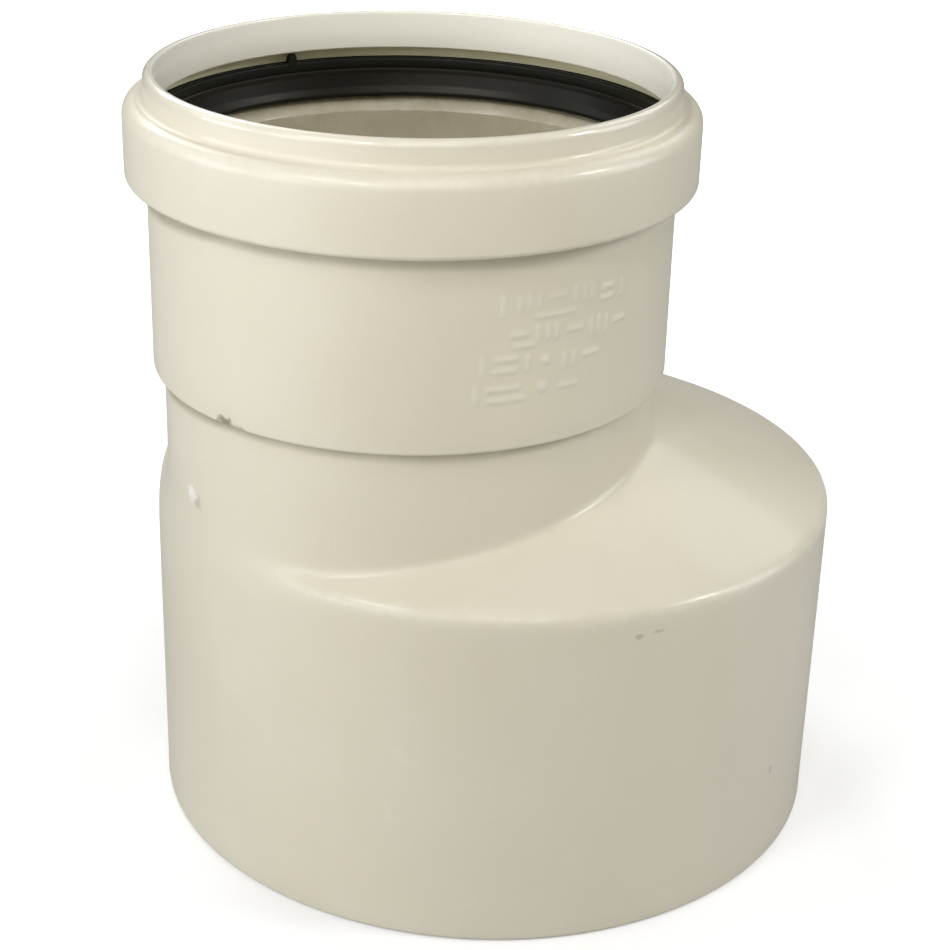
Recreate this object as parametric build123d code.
from build123d import *
import os
from math import cos, degrees, radians, sin

# Eccentric push-fit pipe reducer, 160 mm spigot to 110 mm socket, with its lip seal.
# Origin at the centre of the spigot's end face, +Z towards the socket.
# The socket axis is parallel to the spigot axis, offset towards -X. Millimetres, degrees.

# ---- spigot and shoulder ----
SPIGOT_R = 80.0            # outside
SPIGOT_WALL = 3.4
SPIGOT_BORE_R = SPIGOT_R - SPIGOT_WALL
SPIGOT_BEVEL = 0.8         # on the spigot's end
SHOULDER_Z = 79.7          # shoulder's outer edge, on the spigot axis
SHOULDER_TILT = 1.03       # slope of that edge's plane, lower towards +X
SHOULDER_ROUND = 3.0
APEX_Z = 126.0             # shoulder cone's apex, on the socket axis
BORE_SHOULDER_Z = 77.2     # the same two heights for the hollow
BORE_APEX_Z = 121.6
CONE_FRACTION = 0.55       # part of the way to the apex where the cones are cut off
OFFSET = 24.5              # from the spigot axis to the socket axis

# ---- neck and socket ----
NECK_R = 55.4
NECK_WALL = 3.6
NECK_BORE_R = NECK_R - NECK_WALL
STEP_Z = 113.5             # underside of the socket barrel
STEP_BEVEL = 0.8
STOP_Z = 116.0             # pipe stop at the bottom of the socket
STOP_BEVEL = 0.6
SOCKET_R = 55.2            # bore
SOCKET_WALL = 2.6
BARREL_R = SOCKET_R + SOCKET_WALL
LEAD_IN_Z = 155.4          # top of the plain socket bore

# ---- seal groove, bead around it and rim above it ----
GROOVE_R = 59.6
GROOVE_FLOOR_Z = 158.4
GROOVE_ROOF_Z = 170.5
GROOVE_FLOOR_BEVEL = 0.8
GROOVE_ROOF_BEVEL = 1.2
LEAD_IN_TOP_R = 57.3       # where the lead-in meets the groove floor
BEAD_R = 62.5
BEAD_BOTTOM_Z = 156.9      # lower outer edge
BEAD_SLOPE = 1.7           # rise of the underside from the barrel to its outer edge
BEAD_TOP_Z = 173.3         # ledge on top of the bead
BEAD_ROUND = 3.1           # upper edge
LEDGE_ROUND = 1.4          # fillet between ledge and rim
RIM_R = 57.9
RIM_BORE_R = 55.6
RIM_ROUND = 1.5            # outer edge
RIM_BORE_ROUND = 0.5       # inner edge
RIM_BORE_BEVEL = 0.3       # bottom edge of the rim's bore
TOP_Z = 179.2

# ---- seal and its support ring ----
SEAL_CLEARANCE = 0.15      # between the seal and the groove wall
SEAL_R = GROOVE_R - SEAL_CLEARANCE
SUPPORT_R = 56.8           # inside
SUPPORT_Z0 = 165.4
SUPPORT_Z1 = 167.8
SUPPORT_OUT_BEVEL = 0.5
SUPPORT_IN_BEVEL = 0.7
NUB_AZ = 86.9              # direction of the nub on the support ring, from +X
NUB_R = SUPPORT_R + 1.42   # middle of the nub
NUB_THICK = 1.1            # radial
NUB_W = 2.4
NUB_H = 2.0                # above the ring
NUB_SINK = 0.5             # depth of the nub's root in the ring
LIP_TIP_R = 55.05          # the lip's free edge, flexed open to the pipe size
LIP_TIP_Z = 158.7
SLOT_H = 4.3               # slot behind the lip, open downwards

# ---- raised marks on the barrel ----
MARK_H = 0.3
MARK_AZ = -90.0            # direction of the middle of the marks, from +X
MARK_SINK = 0.6            # depth of the marks' roots in the barrel wall
MARK_BLANK = 4.0           # radial size of a bar before it is trimmed
MARK_BAND_Z = (120.0, 150.0)
# distance along the wall, height of the centre above the spigot's end, width, height
MARKS = [
    (-15.4, 145.0, 1.4, 5.2), (-11.6, 145.2, 1.2, 3.2), (-9.5, 145.3, 1.2, 3.2),
    (-7.4, 145.4, 1.2, 3.2), (-3.2, 145.9, 4.4, 1.3), (-3.4, 142.0, 10.0, 0.9),
    (1.4, 145.4, 1.3, 3.6), (3.7, 145.3, 1.3, 3.6), (6.0, 145.1, 1.3, 3.6),
    (10.2, 145.2, 4.2, 1.3), (10.2, 142.9, 4.2, 1.2), (14.6, 144.0, 1.3, 3.8),
    (-11.6, 138.7, 4.4, 1.3), (-7.4, 138.6, 1.2, 3.4), (-5.2, 138.5, 1.2, 3.4),
    (-3.0, 138.4, 1.2, 3.4), (-10.6, 136.2, 5.2, 1.1), (1.6, 138.0, 4.4, 1.2),
    (6.0, 137.3, 1.3, 4.2), (8.2, 137.2, 1.3, 4.2), (10.4, 137.0, 1.3, 4.2),
    (14.4, 137.2, 4.2, 1.2), (-19.4, 132.6, 1.3, 3.8), (-14.6, 133.7, 5.6, 1.3),
    (-14.6, 131.2, 5.6, 1.2), (-9.6, 132.4, 1.3, 3.4), (-5.4, 132.4, 1.9, 1.9),
    (-0.8, 131.6, 1.2, 3.4), (1.5, 131.5, 1.2, 3.4), (6.2, 131.8, 4.8, 1.2),
    (-20.6, 126.3, 1.3, 4.0), (-14.8, 127.4, 7.4, 1.3), (-14.2, 124.9, 8.6, 1.2),
    (-6.0, 126.7, 2.3, 2.3), (0.4, 126.0, 5.0, 0.9),
]

SOCKET_AXIS = Location((-OFFSET, 0, 0))


def socket_ring(points):
    """Solid of revolution about the socket axis from (radius, z) points."""
    face = make_face(Polyline(*[(r, 0, z) for r, z in points], close=True))
    return SOCKET_AXIS * revolve(face, Axis.Z, 360)


def socket_box(azimuth, radius, z, thick, width, height):
    """Box centred at a direction and radius from the socket axis, facing outwards."""
    box = Rot(0, 0, azimuth) * Pos(radius, 0, z) * Box(thick, width, height)
    return SOCKET_AXIS * box


def arc_points(centre_r, centre_z, radius, angles):
    """(radius, z) points on an arc, angles counted from outwards towards +Z."""
    return [(centre_r + radius * cos(radians(a)), centre_z + radius * sin(radians(a)))
            for a in angles]


def tilted_plane(x, z):
    """Plane with the shoulder's tilt through (x, 0, z)."""
    tilt = radians(SHOULDER_TILT)
    return Plane(origin=(x, 0, z), x_dir=(cos(tilt), 0, -sin(tilt)),
                 z_dir=(sin(tilt), 0, cos(tilt)))


def spigot_with_cone(radius, z_bottom, shoulder_z, apex_z, bevel=0.0):
    """Cylinder about the spigot axis, cut by the tilted plane, under an oblique cone."""
    margin = 10.0          # blank beyond the cut
    blank_top = shoulder_z + margin
    blank = Pos(0, 0, (z_bottom + blank_top) / 2) * Cylinder(radius, blank_top - z_bottom)
    cylinder = split(blank, bisect_by=tilted_plane(0, shoulder_z), keep=Keep.BOTTOM)
    if bevel:
        cylinder = chamfer(cylinder.edges().group_by(Axis.Z)[0], bevel)

    # A tilted cut of a cylinder is an ellipse, here shrinking towards the apex.
    sections = []
    for t in (0.0, CONE_FRACTION):
        plane = tilted_plane(-OFFSET * t, shoulder_z + (apex_z - shoulder_z) * t)
        long_r = radius / cos(radians(SHOULDER_TILT)) * (1 - t)
        sections.append(make_face(plane * Ellipse(long_r, radius * (1 - t)).wire()))
    return cylinder + loft(sections, ruled=True)


def make_neck_and_socket():
    """Outside of the neck, barrel, bead and rim, with a core that the hollow removes."""
    core_r = 20.0
    root_z = 60.0          # inside the spigot
    bead_foot_z = BEAD_BOTTOM_Z - BEAD_SLOPE
    return socket_ring([
        (core_r, root_z), (NECK_R, root_z), (NECK_R, STEP_Z),
        (BARREL_R - STEP_BEVEL, STEP_Z), (BARREL_R, STEP_Z + STEP_BEVEL),
        # sloping underside of the bead, with blunted corners
        (BARREL_R, bead_foot_z - 0.4), (BARREL_R + 0.5, bead_foot_z + 0.2),
        (BEAD_R - 0.8, BEAD_BOTTOM_Z - 0.3), (BEAD_R, BEAD_BOTTOM_Z + 0.6),
        *arc_points(BEAD_R - BEAD_ROUND, BEAD_TOP_Z - BEAD_ROUND, BEAD_ROUND,
                    range(0, 91, 15)),
        *arc_points(RIM_R + LEDGE_ROUND, BEAD_TOP_Z + LEDGE_ROUND, LEDGE_ROUND,
                    range(270, 179, -30)),
        *arc_points(RIM_R - RIM_ROUND, TOP_Z - RIM_ROUND, RIM_ROUND, range(0, 91, 30)),
        (core_r, TOP_Z)])


def make_marks():
    """Plain bars and dots, trimmed to a thin band around the barrel."""
    inner_r, outer_r = BARREL_R - MARK_SINK, BARREL_R + MARK_H
    z0, z1 = MARK_BAND_Z
    band = socket_ring([(inner_r, z0), (outer_r, z0), (outer_r, z1), (inner_r, z1)])
    return [socket_box(MARK_AZ + degrees(along / BARREL_R), BARREL_R, z,
                       MARK_BLANK, width, height) & band
            for along, z, width, height in MARKS]


def make_hollow():
    """Everything inside the body, running out past both open ends."""
    spigot_bore = spigot_with_cone(SPIGOT_BORE_R, -4.0, BORE_SHOULDER_Z, BORE_APEX_Z)
    root_z = 70.0          # inside the spigot's bore
    end_z = TOP_Z + 2.0
    mouth_r = RIM_BORE_R + RIM_BORE_ROUND
    return spigot_bore + socket_ring([
        (0.0, root_z), (NECK_BORE_R, root_z),
        (NECK_BORE_R, STOP_Z - STOP_BEVEL), (NECK_BORE_R + STOP_BEVEL, STOP_Z),
        (SOCKET_R, STOP_Z), (SOCKET_R, LEAD_IN_Z), (LEAD_IN_TOP_R, GROOVE_FLOOR_Z),
        (GROOVE_R - GROOVE_FLOOR_BEVEL, GROOVE_FLOOR_Z),
        (GROOVE_R, GROOVE_FLOOR_Z + GROOVE_FLOOR_BEVEL),
        (GROOVE_R, GROOVE_ROOF_Z - GROOVE_ROOF_BEVEL),
        (GROOVE_R - GROOVE_ROOF_BEVEL, GROOVE_ROOF_Z),
        (RIM_BORE_R + RIM_BORE_BEVEL, GROOVE_ROOF_Z),
        (RIM_BORE_R, GROOVE_ROOF_Z + RIM_BORE_BEVEL),
        # rim's inner edge, rounded in two facets
        (RIM_BORE_R, TOP_Z - RIM_BORE_ROUND),
        (RIM_BORE_R + RIM_BORE_ROUND * 0.3, TOP_Z - RIM_BORE_ROUND * 0.3),
        (mouth_r, TOP_Z), (mouth_r, end_z), (0.0, end_z)])


def make_body():
    outer = spigot_with_cone(SPIGOT_R, 0.0, SHOULDER_Z, APEX_Z, bevel=SPIGOT_BEVEL)
    # The length limit keeps only the full loop around the spigot.
    shoulder_edge = [e for e in outer.edges()
                     if abs(e.center().Z - SHOULDER_Z) < 2.0 and e.length > 400]
    outer = fillet(shoulder_edge, SHOULDER_ROUND)
    outer = outer + make_neck_and_socket()
    outer = outer + make_marks()
    return outer - make_hollow()


def make_support_ring():
    ring = socket_ring([
        (SUPPORT_R, SUPPORT_Z0), (SEAL_R, SUPPORT_Z0),
        (SEAL_R, SUPPORT_Z1 - SUPPORT_OUT_BEVEL), (SEAL_R - SUPPORT_OUT_BEVEL, SUPPORT_Z1),
        (SUPPORT_R + SUPPORT_IN_BEVEL, SUPPORT_Z1),
        (SUPPORT_R, SUPPORT_Z1 - SUPPORT_IN_BEVEL)])
    return ring + socket_box(NUB_AZ, NUB_R, SUPPORT_Z1 + (NUB_H - NUB_SINK) / 2,
                             NUB_THICK, NUB_W, NUB_H + NUB_SINK)


def make_lip_seal():
    """Seal hanging under the support ring: an inner lip and an outer leg."""
    tip_r, tip_z = LIP_TIP_R, LIP_TIP_Z
    return socket_ring([
        # top and inner face
        (SEAL_R, SUPPORT_Z0), (SUPPORT_R + 0.1, SUPPORT_Z0), (SUPPORT_R, SUPPORT_Z0 - 0.5),
        (SUPPORT_R - 0.1, SUPPORT_Z0 - 3.0),
        # lip's free edge
        (tip_r, tip_z + 0.9), (tip_r, tip_z + 0.3), (tip_r + 0.3, tip_z),
        # slot behind the lip
        (tip_r + 1.3, tip_z + 0.2), (tip_r + 2.2, tip_z + SLOT_H),
        (tip_r + 2.6, tip_z + SLOT_H), (tip_r + 2.9, tip_z),
        # foot of the outer leg
        (SEAL_R - 0.7, tip_z), (SEAL_R, tip_z + 0.8)])


os.makedirs("parts", exist_ok=True)
for name, piece in (("reducer_body", make_body()),
                    ("seal_support_ring", make_support_ring()),
                    ("lip_seal", make_lip_seal())):
    piece.label = name
    export_step(piece, f"parts/{name}.step")
